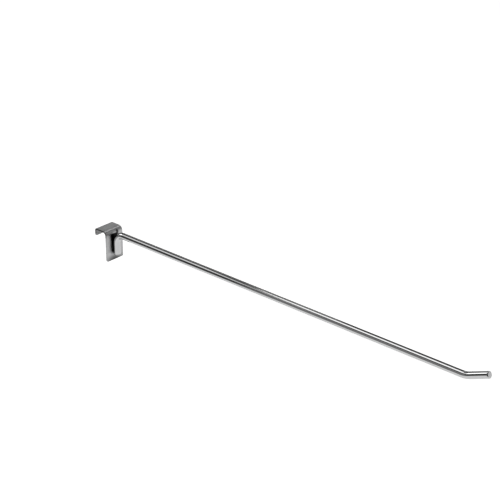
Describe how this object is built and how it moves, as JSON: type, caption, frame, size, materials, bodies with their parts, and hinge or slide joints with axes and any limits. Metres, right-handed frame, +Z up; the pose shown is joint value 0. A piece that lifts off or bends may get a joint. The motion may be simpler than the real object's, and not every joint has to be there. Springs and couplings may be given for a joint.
{
  "type": "single hook",
  "caption": "Display rail hook: a folded sheet saddle that drops over a flat rail, with a welded round arm ending in an upturned tip.",
  "frame": {"origin": "middle of the underside of the saddle's top strip, where it sits on the top of the rail", "axes": "+Z up, -Y forwards along the arm to its tip, +X to the right seen from the front across the saddle's width"},
  "size_m": [0.0196, 0.4153, 0.0364],
  "materials": {
    "plated_sheet": "plated and lightly polished",
    "chromed_wire": "bright chrome"
  },
  "bodies": {
    "root": {"saddle_bracket": "plated_sheet", "hook_rod": "chromed_wire"}
  },
  "joints": []
}
